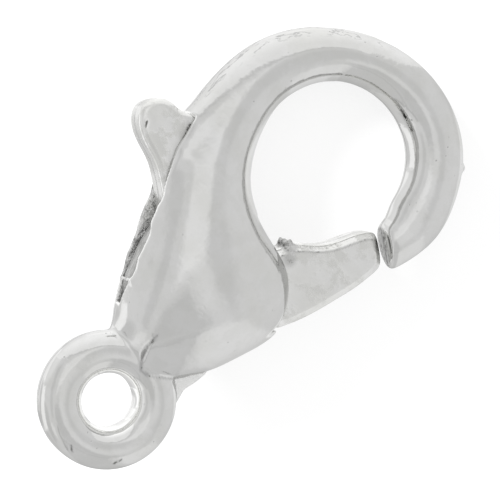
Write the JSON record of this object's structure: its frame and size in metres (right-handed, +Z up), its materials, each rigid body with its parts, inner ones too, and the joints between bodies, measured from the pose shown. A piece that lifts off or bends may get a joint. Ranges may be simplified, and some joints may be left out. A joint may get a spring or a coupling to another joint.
{
  "type": "lobster clasp",
  "caption": "Lobster clasp with a closed end ring, a domed hollow belly, a round hook and a sprung trigger lever that opens the gate inwards.",
  "frame": {"origin": "below the middle of the clasp's length and width, on the surface that it lies on", "axes": "+Y along the clasp from the end ring to the hook, +X towards the gate, +Z up through the thickness"},
  "size_m": [0.0088, 0.0149, 0.0036],
  "materials": {
    "plated_casting": "polished silver plate over a zinc casting",
    "plated_lever": "silver plate, slightly less polished than the body",
    "pin_steel": "plain steel wire, hidden in the body",
    "spring_steel": "dull rolled strip"
  },
  "bodies": {
    "shell": {"body": "plated_casting", "pivot_pin": "pin_steel", "spring": "spring_steel"},
    "lever": {"lever": "plated_lever"}
  },
  "joints": [
    {"name": "gate_hinge", "type": "hinge", "parent": "shell", "child": "lever", "pos_m": [0.00061, -0.00125, 0.00174], "axis": [0, 0.1239, 0.9923], "range_deg": [0, 27], "stiffness_Nm_per_rad": 0.004, "springref_deg": -20.05, "deforming": ["spring"]}
  ]
}
